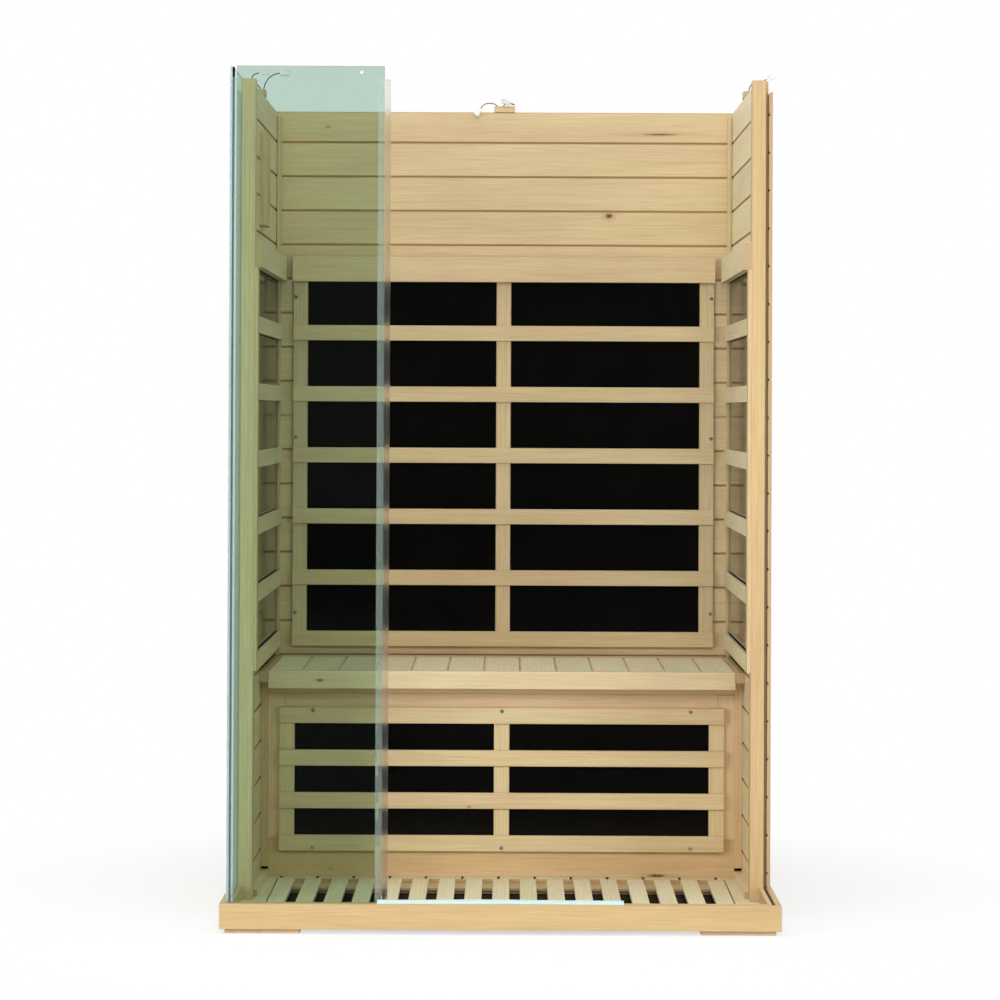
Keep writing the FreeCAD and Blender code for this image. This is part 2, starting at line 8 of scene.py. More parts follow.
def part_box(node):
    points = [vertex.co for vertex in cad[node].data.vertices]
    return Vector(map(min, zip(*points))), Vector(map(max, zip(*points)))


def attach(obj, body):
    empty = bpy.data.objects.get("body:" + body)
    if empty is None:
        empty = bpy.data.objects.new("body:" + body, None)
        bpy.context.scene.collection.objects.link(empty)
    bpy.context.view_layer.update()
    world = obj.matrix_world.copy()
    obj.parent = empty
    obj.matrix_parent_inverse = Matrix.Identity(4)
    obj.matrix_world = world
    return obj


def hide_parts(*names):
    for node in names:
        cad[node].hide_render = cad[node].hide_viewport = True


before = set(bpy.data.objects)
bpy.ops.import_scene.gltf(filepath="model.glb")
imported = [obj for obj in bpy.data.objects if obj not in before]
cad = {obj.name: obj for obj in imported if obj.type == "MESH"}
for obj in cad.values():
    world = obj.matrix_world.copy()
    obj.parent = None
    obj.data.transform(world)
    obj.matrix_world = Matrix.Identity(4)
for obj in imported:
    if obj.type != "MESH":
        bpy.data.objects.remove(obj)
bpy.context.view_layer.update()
scene = bpy.context.scene

# Sockets of a Mix node that serve colours
MIX_SHARE, MIX_FIRST, MIX_SECOND, MIX_RESULT = 0, 6, 7, 2

# Range that holds most values of a noise
NOISE_LOW, NOISE_HIGH = 0.3, 0.7


# Shader building
def node(tree, kind, inputs=None, **settings):
    """A new shader node; an input is a value or another node's output."""
    made = tree.nodes.new("ShaderNode" + kind)
    for name, value in settings.items():
        setattr(made, name, value)
    for name, value in (inputs or {}).items():
        if isinstance(value, bpy.types.NodeSocket):
            tree.links.new(value, made.inputs[name])
        else:
            made.inputs[name].default_value = value
    return made


def calc(tree, operation, first, second):
    """The result of one step of arithmetic."""
    return node(tree, "Math", {0: first, 1: second}, operation=operation).outputs[0]


def weighted(tree, *terms):
    """The sum of values, each times its part."""
    products = [calc(tree, "MULTIPLY", value, part) for value, part in terms]
    total = products[0]
    for product in products[1:]:
        total = calc(tree, "ADD", total, product)
    return total


def scaled(tree, vector, factors):
    """A vector with each coordinate times its factor."""
    return node(tree, "VectorMath", {0: vector, 1: factors}, operation="MULTIPLY").outputs[0]


def length_of(tree, vector):
    """The length of a vector."""
    return node(tree, "VectorMath", {0: vector}, operation="LENGTH").outputs["Value"]


def rgba(colour):
    """A colour as the sockets of shaders take it."""
    return (*colour, 1.0)


def blend(tree, share, first, second):
    """Colour first, turning into colour second with share."""
    made = node(tree, "Mix", data_type="RGBA")
    for socket, value in ((MIX_SHARE, share), (MIX_FIRST, first), (MIX_SECOND, second)):
        if isinstance(value, bpy.types.NodeSocket):
            tree.links.new(value, made.inputs[socket])
        else:
            made.inputs[socket].default_value = rgba(value)
    return made.outputs[MIX_RESULT]


def stretch(tree, value, low, high, to_low=0.0, to_high=1.0):
    """A value from one range, brought to another and kept inside it."""
    return node(tree, "MapRange", {0: value, 1: low, 2: high, 3: to_low, 4: to_high}).outputs[0]


def spread(tree, value, to_low=0.0, to_high=1.0):
    """A noise spread over a range."""
    return stretch(tree, value, NOISE_LOW, NOISE_HIGH, to_low, to_high)


def noise(tree, vector, detail=2.0, roughness=0.5):
    """A cloudy pattern; the vector sets its scale."""
    return node(tree, "TexNoise", {"Vector": vector, "Scale": 1.0, "Detail": detail,
                                   "Roughness": roughness}).outputs["Fac"]


def wave(tree, vector, direction, shape):
    """Bands across one direction; the vector sets their scale."""
    return node(tree, "TexWave", {"Vector": vector, "Scale": 1.0, **shape}, wave_type="BANDS",
                bands_direction=direction).outputs["Fac"]


def bump(tree, height, strength, distance):
    """A normal that shows a height."""
    return node(tree, "Bump", {"Strength": strength, "Distance": distance, "Height": height}).outputs[0]


def attribute(tree, name):
    """A number that each face carries."""
    return node(tree, "Attribute", attribute_name=name).outputs["Fac"]


def object_place(tree):
    """Place in the frame of the piece, in metres."""
    return node(tree, "TexCoord").outputs["Object"]


def material(name):
    """A new material with an empty tree."""
    made = bpy.data.materials.new(name)
    made.use_nodes = True
    made.node_tree.nodes.clear()
    return made, made.node_tree


def output(tree, shader):
    """Ends a material with a shader."""
    node(tree, "OutputMaterial", {"Surface": shader})


def surface(tree, inputs):
    """Ends a material with one principled shader."""
    output(tree, node(tree, "BsdfPrincipled", inputs).outputs[0])


# Wood colours in linear light, here and below; a tone is the dark and the light of the figure
WOOD_WHITE = ((0.69, 0.625, 0.420), (0.82, 0.760, 0.530))
WOOD_PALE = ((0.61, 0.475, 0.280), (0.75, 0.615, 0.395))
WOOD_WARM = ((0.495, 0.334, 0.147), (0.612, 0.442, 0.220))
WOOD_PINK = ((0.60, 0.418, 0.232), (0.735, 0.528, 0.312))
WOOD_VEIN = (0.50, 0.29, 0.115)
WOOD_END = (0.43, 0.30, 0.165)
END_LIGHT = 1.28
WOOD_GROOVE = (0.38, 0.185, 0.065)
# Painted shade for the hidden ends of grooves, where they run into the dark gap behind another piece
GROOVE_END_SHADE = (0.012, 0.008, 0.005)
KNOT = (0.13, 0.060, 0.025)

# Tones that follow on the white one, each with the warmth at which it starts and is complete
WARMER_TONES = ((-1.0, 0.0, WOOD_PALE), (0.0, 1.0, WOOD_WARM), (1.0, 2.0, WOOD_PINK))

# Wood noises: cycles per metre along and across the grain, detail and roughness
FIBRE = (10.0, 560.0, 4.0, 0.62)
BAND = (8.0, 290.0, 3.0, 0.6)
STREAK = (2.6, 95.0, 3.0, 0.55)
VEIN = (3.2, 310.0, 2.0, 0.5)
CLOUD = (1.7, 9.0, 2.0, 0.5)
FLECK = (55.0, 900.0, 1.0, 0.5)
END_DOTS = (3.0, 1500.0, 1.0, 0.5)
RING_CYCLES = (2.2, 34.0, 34.0)
RING_SHAPE = {"Distortion": 7.0, "Detail": 2.0, "Detail Scale": 0.55}
BOARD_SHIFT = (17.0, 5.3, 3.7)

# Parts that make up the figure and the lightness of a board
STREAK_PART, FIBRE_PART, BAND_PART, RING_PART = 0.13, 0.40, 0.40, 0.07
CLOUD_PART, BOARD_PART, LEAST_LIGHTNESS = 0.16, 0.12, 0.87

# Ranges: the low and high of a value, and after these, if given, what they become
FIGURE_RANGE = (0.37, 0.63)
VEIN_RANGE = (0.60, 0.76, 0.0, 0.30)
FLECK_RANGE = (0.68, 0.80, 0.0, 0.35)
END_DOT_RANGE = (0.35, 0.65)
SATURATION_RANGE = (0.0, 1.0, 1.08, 0.94)

# Least and most of the hue and of the roughness, then gloss, and strength and depth of the bumps
HUE_SPREAD = (0.494, 0.505)
WOOD_ROUGHNESS = (0.46, 0.62)
WOOD_SPECULAR = 0.35
WOOD_BUMP = (0.22, 0.0003)

# Painted shade: groove ends turn dark over these metres before a piece that hides them, on faces with this
# mark or more
END_SHADE_FADE = (-0.014, -0.010)
GROOVE_LEAST = 0.1

# Knots, all on boards along X: place in metres, length along the grain, width across it, depth of colour
KNOTS = (
    ((0.3824, 0.478, 1.7995), 0.060, 0.0036, 0.85),
    ((0.2572, 0.478, 1.5985), 0.013, 0.0090, 1.0),
    ((-0.435, 0.478, 1.8149), 0.008, 0.0036, 0.6),
    ((-0.4192, 0.004, 0.4956), 0.011, 0.0042, 1.0),
    ((0.3620, 0.074, 0.0385), 0.030, 0.0050, 1.0),
    ((-0.3957, 0.074, 0.0504), 0.007, 0.0050, 0.35),
    ((-0.0747, 0.058, 0.1980), 0.006, 0.0035, 0.7),
)
WOBBLE_CYCLES = (330.0, 330.0, 330.0)
WOBBLE_RANGE = (0.0, 1.0, -0.28, 0.62)
HALO_RANGE = (0.7, 2.3)
HALO_DEPTH = 0.55
HEART_RANGE = (0.45, 1.0)


def grain_place(tree, axis, board):
    """Place with the first coordinate along the grain, moved for each board."""
    parts = node(tree, "SeparateXYZ", {0: object_place(tree)}).outputs
    order = {"X": (0, 1, 2), "Y": (1, 0, 2), "Z": (2, 0, 1)}[axis]
    along = node(tree, "CombineXYZ", {k: parts[part] for k, part in enumerate(order)}).outputs[0]
    steps = {k: calc(tree, "MULTIPLY", board, step) for k, step in enumerate(BOARD_SHIFT)}
    shift = node(tree, "CombineXYZ", steps).outputs[0]
    return node(tree, "VectorMath", {0: along, 1: shift}, operation="ADD").outputs[0]


def grain_noise(tree, grain, along, across, detail, roughness):
    """A noise drawn out along the grain."""
    return noise(tree, scaled(tree, grain, (along, across, across)), detail, roughness)


def wood_face(tree, grain, board, fibre):
    """The face of a board: its figure in the tone of its warmth, then veins, clouds and flecks."""
    streak = grain_noise(tree, grain, *STREAK)
    band = grain_noise(tree, grain, *BAND)
    rings = wave(tree, scaled(tree, grain, RING_CYCLES), "Y", RING_SHAPE)
    figure = weighted(tree, (streak, STREAK_PART), (fibre, FIBRE_PART), (band, BAND_PART), (rings, RING_PART))
    figure = stretch(tree, figure, *FIGURE_RANGE)
    warmth = attribute(tree, "warm")
    face = blend(tree, figure, *WOOD_WHITE)
    for start, complete, tone in WARMER_TONES:
        face = blend(tree, stretch(tree, warmth, start, complete), face, blend(tree, figure, *tone))
    vein = grain_noise(tree, grain, *VEIN)
    face = blend(tree, stretch(tree, vein, *VEIN_RANGE), face, WOOD_VEIN)
    cloud = grain_noise(tree, grain, *CLOUD)
    lightness = weighted(tree, (cloud, CLOUD_PART), (board, BOARD_PART))
    face = node(tree, "HueSaturation", {
        "Hue": spread(tree, cloud, *HUE_SPREAD),
        "Saturation": stretch(tree, board, *SATURATION_RANGE),
        "Value": calc(tree, "ADD", lightness, LEAST_LIGHTNESS),
        "Color": face}).outputs[0]
    fleck = grain_noise(tree, grain, *FLECK)
    return blend(tree, stretch(tree, fleck, *FLECK_RANGE), face, WOOD_GROOVE)


def add_knots(tree, place, face):
    """Draws the knots: a dark heart in a wider brown halo."""
    wobble = noise(tree, scaled(tree, place, WOBBLE_CYCLES), detail=3.0)
    for spot, length, width, depth in KNOTS:
        gap = node(tree, "VectorMath", {0: place, 1: spot}, operation="SUBTRACT").outputs[0]
        reach = length_of(tree, scaled(tree, gap, (1.0 / length, 1.0 / width, 1.0 / width)))
        reach = calc(tree, "ADD", reach, stretch(tree, wobble, *WOBBLE_RANGE))
        face = blend(tree, stretch(tree, reach, *HALO_RANGE, HALO_DEPTH * depth, 0.0), face, WOOD_VEIN)
        face = blend(tree, stretch(tree, reach, *HEART_RANGE, depth, 0.0), face, KNOT)
    return face


def add_end_grain(tree, grain, face):
    """Draws the darker, dotted ends of boards."""
    dots = grain_noise(tree, grain, *END_DOTS)
    light = tuple(c * END_LIGHT for c in WOOD_END)
    end = blend(tree, stretch(tree, dots, *END_DOT_RANGE), WOOD_END, light)
    return blend(tree, attribute(tree, "end"), face, end)


def paint_groove_end_shade(tree, place, groove, face):
    """Paints shade into grooves along Y where they pass behind another piece, standing in for the dark gap in
    there.
    """
    deep = node(tree, "SeparateXYZ", {0: place}).outputs[1]
    before = calc(tree, "SUBTRACT", attribute(tree, "groove_from"), deep)
    behind = calc(tree, "SUBTRACT", deep, attribute(tree, "groove_to"))
    end_shade_mask = stretch(tree, calc(tree, "MAXIMUM", before, behind), *END_SHADE_FADE)
    dark = calc(tree, "MULTIPLY", end_shade_mask, calc(tree, "GREATER_THAN", groove, GROOVE_LEAST))
    return blend(tree, dark, face, GROOVE_END_SHADE)


def wood(name, axis):
    """Planed softwood with its grain along one axis."""
    made, tree = material(name)
    place = object_place(tree)
    board = attribute(tree, "board")
    groove = attribute(tree, "groove")
    grain = grain_place(tree, axis, board)
    fibre = grain_noise(tree, grain, *FIBRE)
    face = wood_face(tree, grain, board, fibre)
    if axis == "X":
        face = add_knots(tree, place, face)
    face = add_end_grain(tree, grain, face)
    face = blend(tree, groove, face, WOOD_GROOVE)
    # Painted shade where grooves along Y run behind another piece
    if axis == "Y":
        face = paint_groove_end_shade(tree, place, groove, face)
    surface(tree, {"Base Color": face, "Roughness": spread(tree, fibre, *WOOD_ROUGHNESS),
                   "Specular IOR Level": WOOD_SPECULAR, "Normal": bump(tree, fibre, *WOOD_BUMP)})
    return made


# Plywood
PLYWOOD_FACE = ((0.54, 0.39, 0.23), (0.74, 0.56, 0.36))
PLYWOOD_LAYER = (0.34, 0.22, 0.12)
PLYWOOD_FIBRES = (20.0, 260.0, 30.0)
PLYWOOD_LAYERS = (0.4, 0.4, 210.0)
LAYER_SHAPE = {"Distortion": 0.6}
LAYER_PART = 0.35
PLYWOOD_ROUGHNESS = (0.6, 0.8)
PLYWOOD_BUMP = (0.3, 0.0003)


def plywood():
    """Raw board: brownish face, thin layers on the edges."""
    made, tree = material("plywood")
    place = object_place(tree)
    fibre = noise(tree, scaled(tree, place, PLYWOOD_FIBRES), detail=4.0, roughness=0.6)
    layers = wave(tree, scaled(tree, place, PLYWOOD_LAYERS), "Z", LAYER_SHAPE)
    face = blend(tree, spread(tree, fibre), *PLYWOOD_FACE)
    face = blend(tree, calc(tree, "MULTIPLY", layers, LAYER_PART), face, PLYWOOD_LAYER)
    surface(tree, {"Base Color": face, "Roughness": spread(tree, fibre, *PLYWOOD_ROUGHNESS),
                   "Normal": bump(tree, fibre, *PLYWOOD_BUMP)})
    return made


# Heater panels
HEATER_WEAVE = ((0.0012, 0.0012, 0.0011), (0.0034, 0.0032, 0.0030))
HEATER_CLOUD = (0.0042, 0.0038, 0.0034)
THREAD_CYCLES = (220.0, 220.0, 220.0)
THREAD_SHAPE = {"Distortion": 0.4}
THREAD_PART = 0.333
HEATER_CLOUDS = (9.0, 9.0, 9.0)
HEATER_CLOUD_RANGE = (0.35, 0.75, 0.0, 0.6)
HEATER_BUMP = (0.05, 0.0001)
HEATER_SWING = 0.04


def heater(name, roughness, specular):
    """Black carbon panel: fine weave under a smooth film."""
    made, tree = material(name)
    place = object_place(tree)
    threads = scaled(tree, place, THREAD_CYCLES)
    across, deep, upright = [wave(tree, threads, direction, THREAD_SHAPE) for direction in "XYZ"]
    total = calc(tree, "ADD", calc(tree, "ADD", across, deep), upright)
    weave = calc(tree, "MULTIPLY", total, THREAD_PART)
    cloud = noise(tree, scaled(tree, place, HEATER_CLOUDS), detail=3.0)
    face = blend(tree, weave, *HEATER_WEAVE)
    face = blend(tree, stretch(tree, cloud, *HEATER_CLOUD_RANGE), face, HEATER_CLOUD)
    surface(tree, {"Base Color": face, "Normal": bump(tree, weave, *HEATER_BUMP),
                   "Specular IOR Level": specular,
                   "Roughness": spread(tree, cloud, roughness - HEATER_SWING, roughness + HEATER_SWING)})
    return made


# Glass
GLASS_FRONT = (0.53, 0.69, 0.60)
GLASS_SIDE = (0.64, 0.78, 0.70)
GLASS_SHADOW = (0.90, 0.95, 0.92)
GLASS_EDGE = (0.58, 0.80, 0.72)
GLASS_GLOW = (0.45, 0.50, 0.49)
SMEAR_CYCLES = (4.0, 4.0, 1.6)
SMEAR_RANGE = (0.5, 0.8, 0.0, 0.004)
GLOW_RANGE = (0.86, 0.94, 0.0, 0.62)


def add_glow(tree, pane):
    """Milky light in a pane where it is seen along its face."""
    along = stretch(tree, node(tree, "LayerWeight").outputs["Facing"], *GLOW_RANGE)
    near = node(tree, "BsdfDiffuse", {"Color": rgba(GLASS_GLOW)})
    through = node(tree, "BsdfTranslucent", {"Color": rgba(GLASS_GLOW)})
    glow = node(tree, "AddShader", {0: near.outputs[0], 1: through.outputs[0]})
    return node(tree, "MixShader", {0: along, 1: pane.outputs[0], 2: glow.outputs[0]})


def glass(name, colour, ior, milky):
    """Clear tinted glass with faint smears; light for other surfaces passes straight through, tinted."""
    made, tree = material(name)
    smear = noise(tree, scaled(tree, object_place(tree), SMEAR_CYCLES), detail=3.0)
    pane = node(tree, "BsdfPrincipled", {"Base Color": rgba(colour), "IOR": ior, "Transmission Weight": 1.0,
                                         "Roughness": stretch(tree, smear, *SMEAR_RANGE)})
    if milky:
        pane = add_glow(tree, pane)
    clear = node(tree, "BsdfTransparent", {"Color": rgba(GLASS_SHADOW)})
    path = node(tree, "LightPath").outputs
    passing = calc(tree, "MAXIMUM", path["Is Shadow Ray"], path["Is Diffuse Ray"])
    output(tree, node(tree, "MixShader", {0: passing, 1: pane.outputs[0], 2: clear.outputs[0]}).outputs[0])
    return made


# Plastics: the dark of their mottling is a part of the colour
SEAL_COLOUR = (0.76, 0.85, 0.80)
FIN_COLOUR = (0.86, 0.84, 0.80)
LIP_COLOUR = (0.40, 0.53, 0.57)
STRIP_COLOUR = (0.70, 0.92, 0.92)
CORE_COLOUR = (0.006, 0.006, 0.007)
NYLON_COLOUR = (0.80, 0.80, 0.76)
RED_COLOUR = (0.20, 0.014, 0.016)
BLACK_COLOUR = (0.008, 0.008, 0.009)
MOTTLING = (60.0, 60.0, 60.0)
EDGE_MOTTLING = (40.0, 40.0, 40.0)
FILM_LINES = (900.0, 900.0, 3.0)
FIN_LINES = (700.0, 700.0, 4.0)
STRIP_LINES = (5.0, 500.0, 500.0)
PLASTIC_DARK, FILM_DARK = 0.90, 0.82
PLASTIC_BUMP = (0.10, 0.0002)
FILM_BUMP = (0.15, 0.0002)
PLASTIC_SWING = 0.06


def mottled(tree, cycles, colour, dark, roughness, bumps):
    """Colour, roughness and bumps of plastic, from a noise that draws mottling or lines."""
    lines = noise(tree, scaled(tree, object_place(tree), cycles), detail=3.0, roughness=0.6)
    return {"Base Color": blend(tree, spread(tree, lines), tuple(c * dark for c in colour), colour),
            "Roughness": spread(tree, lines, roughness - PLASTIC_SWING, roughness + PLASTIC_SWING),
            "Normal": bump(tree, lines, *bumps)}


def plastic(name, colour, roughness, transmission=0.0, cycles=MOTTLING, ior=1.45):
    """Moulded or drawn plastic."""
    made, tree = material(name)
    surface(tree, {**mottled(tree, cycles, colour, PLASTIC_DARK, roughness, PLASTIC_BUMP),
                   "Transmission Weight": transmission, "IOR": ior})
    return made


def film(name, colour, roughness, cover):
    """Clear soft plastic in thin walls: a faint milky skin with drawing lines along Z."""
    made, tree = material(name)
    surface(tree, {**mottled(tree, FILM_LINES, colour, FILM_DARK, roughness, FILM_BUMP), "Alpha": cover})
    return made


# Screw metal
ZINC_TONES = ((0.46, 0.48, 0.49), (0.70, 0.72, 0.72))
ZINC_GRAIN = (900.0, 900.0, 900.0)
ZINC_METALLIC = 0.85
ZINC_ROUGHNESS = (0.30, 0.48)


def zinc():
    """Plated steel with a fine grain."""
    made, tree = material("zinc_screw")
    grain = noise(tree, scaled(tree, object_place(tree), ZINC_GRAIN))
    surface(tree, {"Base Color": blend(tree, spread(tree, grain), *ZINC_TONES), "Metallic": ZINC_METALLIC,
                   "Roughness": spread(tree, grain, *ZINC_ROUGHNESS)})
    return made


# Materials of the part
WOODS = [wood("wood_" + axis.lower(), axis) for axis in "XYZ"]
PLYWOOD = plywood()
HEATER = heater("heater_panel", roughness=0.16, specular=0.25)
SIDE_HEATER = heater("side_heater_panel", roughness=0.07, specular=1.0)
FLOOR_HEATER = heater("floor_heater_panel", roughness=0.55, specular=0.10)
PANE = glass("glass_pane", GLASS_FRONT, ior=1.5, milky=False)
SIDE_PANE = glass("glass_side_pane", GLASS_SIDE, ior=1.01, milky=True)
PANE_EDGE = plastic("glass_edge", GLASS_EDGE, roughness=0.20, transmission=0.35, cycles=EDGE_MOTTLING,
                    ior=1.5)
SEAL_CLEAR = film("seal_clear", SEAL_COLOUR, roughness=0.16, cover=0.068)
FIN_CLEAR = plastic("fin_clear", FIN_COLOUR, roughness=0.20, transmission=0.97, cycles=FIN_LINES, ior=1.15)
LIP_CLEAR = film("lip_clear", LIP_COLOUR, roughness=0.20, cover=0.30)
STRIP_CLEAR = plastic("strip_clear", STRIP_COLOUR, roughness=0.24, transmission=0.10, cycles=STRIP_LINES)
SEAL_BLACK = plastic("seal_black", CORE_COLOUR, roughness=0.5)
NYLON = plastic("nylon_white", NYLON_COLOUR, roughness=0.42)
WIRES = {"wire_red": plastic("wire_red", RED_COLOUR, roughness=0.40),
         "wire_black": plastic("wire_black", BLACK_COLOUR, roughness=0.42)}
ZINC = zinc()

# Leads: node, duct, length, slot and route; ducts and lengths in metres, route in millimetres from the duct
BACK_DUCT = (0.0, 0.488, 1.86895)
LEFT_DUCT = (-0.570, 0.1255, 1.86895)
RIGHT_DUCT = (0.570, 0.1255, 1.86895)
LEADS = (
    ("lead_back_red", BACK_DUCT, 0.0574, "wire_red",
     ((-17, 2, 0), (-24, -1, 5.5), (-38, -10, 6.5), (-53, -20, 2), (-60, -24, -9))),
    ("lead_back_short", BACK_DUCT, 0.0575, "wire_black",
     ((-4, 6, 0), (1, 5, 6), (12, 1, 7), (21, -5, 5), (24.5, -14, 2.5), (21.5, -22.5, 1.5), (13, -26, 4))),
    ("lead_left_black", LEFT_DUCT, 0.0594, "wire_black",
     ((5, -9, 0), (8, -10, 13), (18, -11, 28), (33, -11, 37), (44, -12, 37.5))),
    ("lead_left_short", LEFT_DUCT, 0.0571, "wire_black",
     ((-1, -14, 0), (-7, -14, 10), (-19, -14, 18), (-23, -13, 28), (-16, -12.5, 36), (-5, -12, 38.5))),
    ("lead_right", RIGHT_DUCT, 0.0559, "wire_black",
     ((2, -9, 0), (5, -10, 13), (16, -11, 22), (32, -11, 22), (44, -12, 28))),
)

# Nodes by finish
SIDE_HEATERS = ("left_heater", "right_heater")
HEATERS = SIDE_HEATERS + ("back_heater_left", "back_heater_right", "calf_heater_left", "calf_heater_right",
                          "floor_heater")
RAW_BOARDS = ("foot_pads", "floor_heater_board")
PANES = ("front_glass", "side_glass")
SEALS = ("corner_seal_profile", "corner_seal_core", "door_edge_seal", "threshold_strip")
LEAD_NODES = tuple(item[0] for item in LEADS) + ("lead_connectors",)
OTHERS = HEATERS + RAW_BOARDS + PANES + SEALS + LEAD_NODES + ("guard_screws",)
WOODEN = [name for name in cad if name not in OTHERS]
SIDE_WALLS = ("left_wall_planks", "right_wall_planks")
PLANKED = SIDE_WALLS + ("back_wall_planks", "left_wall_cladding", "right_wall_cladding", "back_wall_cladding",
                        "floor_deck", "bench_planks")

# Warmth of the wood by node, as in WARMER_TONES; boards below the seat can have their own
USUAL_WARMTH = 0.5
WARMTH = {
    "base_front_board": 1.0, "base_rim_rails": 0.9, "skirt_frame": 1.9, "skirt_backing": 1.9,
    "back_guard_rails": 0.3, "back_guard_stiles": 0.3, "skirt_guard_rails": 0.3, "skirt_guard_stiles": 0.3,
    "left_wall_planks": -0.4, "right_wall_planks": -0.75, "back_wall_planks": 0.25, "bench_planks": -1.0,
    "bench_rear_rail": 0.6, "floor_slats": -1.0, "floor_deck": -0.7, "left_guard_rails": -0.3,
    "right_guard_rails": -0.5, "bench_fascia": 0.1, "left_front_post": 0.3, "right_front_post": 0.85,
}
LOW_WARMTH = {"right_wall_planks": -0.3, "corner_trims": 2.0, "skirting_battens": -0.3}

# Depth of colour in the grooves
USUAL_SHADE = 0.8
GROOVE_SHADE = {"bench_planks": 0.32, "floor_deck": 0.6, "back_wall_planks": 0.60}

# Height of the seat
BENCH_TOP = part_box("bench_planks")[1][2]

# Y in metres between which the grooves of a node lie open, with painted shade in them beyond; OUTSIDE is
# beyond the part
BENCH_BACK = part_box("bench_planks")[1][1]
POST_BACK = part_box("left_wall_planks")[0][1]
CORNER_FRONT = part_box("left_guard_rails")[1][1]
SKIRT_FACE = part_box("skirt_frame")[0][1]
OUTSIDE = 9.0
OPEN = (-OUTSIDE, OUTSIDE)
GROOVE_STOPS = {"bench_planks": (-OUTSIDE, BENCH_BACK), "floor_deck": (-OUTSIDE, SKIRT_FACE)}
GROOVE_STOPS.update({name: (POST_BACK, CORNER_FRONT) for name in SIDE_WALLS})
LOW_STOPS = {name: (POST_BACK, SKIRT_FACE) for name in SIDE_WALLS}

# Tone of a board: factors that turn its lowest corner into a number, and how far this moves the warmth
TONE_SEED = (91.7, 57.3, 131.9)
TONE_FACTOR = 437.585
TONE_WARMTH = 0.5

# A face looks along an axis when its normal has more than this there
FLAT = 0.9

# Same places agree in this many digits of a metre; then the weld's reach and the easing of wooden edges
PLACE_DIGITS = 5
WELD = 0.00001
WOOD_EASE = 0.0010
WOOD_ANGLE = 50.0


# Finish of the CAD pieces
def boards(mesh):
    """Faces grouped by board: faces that share an edge in place belong together."""
    parent = list(range(len(mesh.polygons)))

    def root(k):
        while parent[k] != k:
            parent[k] = parent[parent[k]]
            k = parent[k]
        return k

    spots = [tuple(round(c, PLACE_DIGITS) for c in v.co) for v in mesh.vertices]
    owner = {}
    for face in mesh.polygons:
        corners = [spots[k] for k in face.vertices]
        for first, second in zip(corners, corners[1:] + corners[:1]):
            edge = (first, second) if first < second else (second, first)
            if edge in owner:
                parent[root(face.index)] = root(owner[edge])
            else:
                owner[edge] = face.index
    groups = {}
    for face in mesh.polygons:
        groups.setdefault(root(face.index), []).append(face)
    return groups.values()


def extent(mesh, faces):
    """Lowest and highest corner of the box round some faces."""
    corners = [mesh.vertices[k].co for face in faces for k in face.vertices]
    low = [min(c[a] for c in corners) for a in range(3)]
    high = [max(c[a] for c in corners) for a in range(3)]
    return low, high


def board_tone(low):
    """A number from 0 to 1 that follows from the lowest corner of a board."""
    seed = low[0] * TONE_SEED[0] + low[1] * TONE_SEED[1] + low[2] * TONE_SEED[2]
    tone = math.sin(seed) * TONE_FACTOR
    return tone - math.floor(tone)


def grain_faces(mesh, shade, upper, lower):
    """Gives each board its grain direction and tone, and marks its ends, bevels and where its grooves stop.

    upper and lower hold the warmth and the two stops of the grooves, for boards above and below the seat.
    """
    marks = {name: [0.0] * len(mesh.polygons)
             for name in ("board", "end", "groove", "warm", "groove_from", "groove_to")}
    for faces in boards(mesh):
        low, high = extent(mesh, faces)
        size = [high[a] - low[a] for a in range(3)]
        along = size.index(max(size))
        warm, stops = lower if high[2] < BENCH_TOP else upper
        tone = board_tone(low)
        for face in faces:
            normal = [abs(c) for c in face.normal]
            face.material_index = along
            marks["board"][face.index] = tone
            marks["warm"][face.index] = warm + TONE_WARMTH * (tone - 0.5)
            marks["end"][face.index] = 1.0 if normal[along] > FLAT else 0.0
            marks["groove"][face.index] = shade if max(normal) < FLAT else 0.0
            marks["groove_from"][face.index], marks["groove_to"][face.index] = stops
    for name, values in marks.items():
        mesh.attributes.new(name, "FLOAT", "FACE").data.foreach_set("value", values)


def bevelled(piece, name, width, segments, angle):
    """Rounds the edges that turn by more than an angle in degrees."""
    bevel = piece.modifiers.new(name, "BEVEL")
    bevel.width = width
    bevel.segments = segments
    bevel.limit_method = "ANGLE"
    bevel.angle_limit = math.radians(angle)


def dress(names, *materials):
    """Gives nodes their materials."""
    for name in names:
        mesh = cad[name].data
        mesh.materials.clear()
        for made in materials:
            mesh.materials.append(made)


def dress_wood(name):
    """Grain, tone and grooves on a wooden node, and soft edges on all but the planked ones."""
    warm = WARMTH.get(name, USUAL_WARMTH)
    stops = GROOVE_STOPS.get(name, OPEN)
    upper = (warm, stops)
    lower = (LOW_WARMTH.get(name, warm), LOW_STOPS.get(name, stops))
    grain_faces(cad[name].data, GROOVE_SHADE.get(name, USUAL_SHADE), upper, lower)
    if name not in PLANKED:
        weld = cad[name].modifiers.new("weld", "WELD")
        weld.merge_threshold = WELD
        bevelled(cad[name], "ease", WOOD_EASE, segments=2, angle=WOOD_ANGLE)


def dress_pane(name, across, pane):
    """Glass on the two faces of a pane, and the colour of its edge all round."""
    dress((name,), pane, PANE_EDGE)
    for face in cad[name].data.polygons:
        face.material_index = 0 if abs(face.normal[across]) > FLAT else 1


dress(WOODEN, *WOODS)
for wooden in WOODEN:
    dress_wood(wooden)
dress(HEATERS, HEATER)
dress(SIDE_HEATERS, SIDE_HEATER)
dress(("floor_heater",), FLOOR_HEATER)
dress(RAW_BOARDS, PLYWOOD)
dress_pane("front_glass", across=1, pane=PANE)
dress_pane("side_glass", across=0, pane=SIDE_PANE)


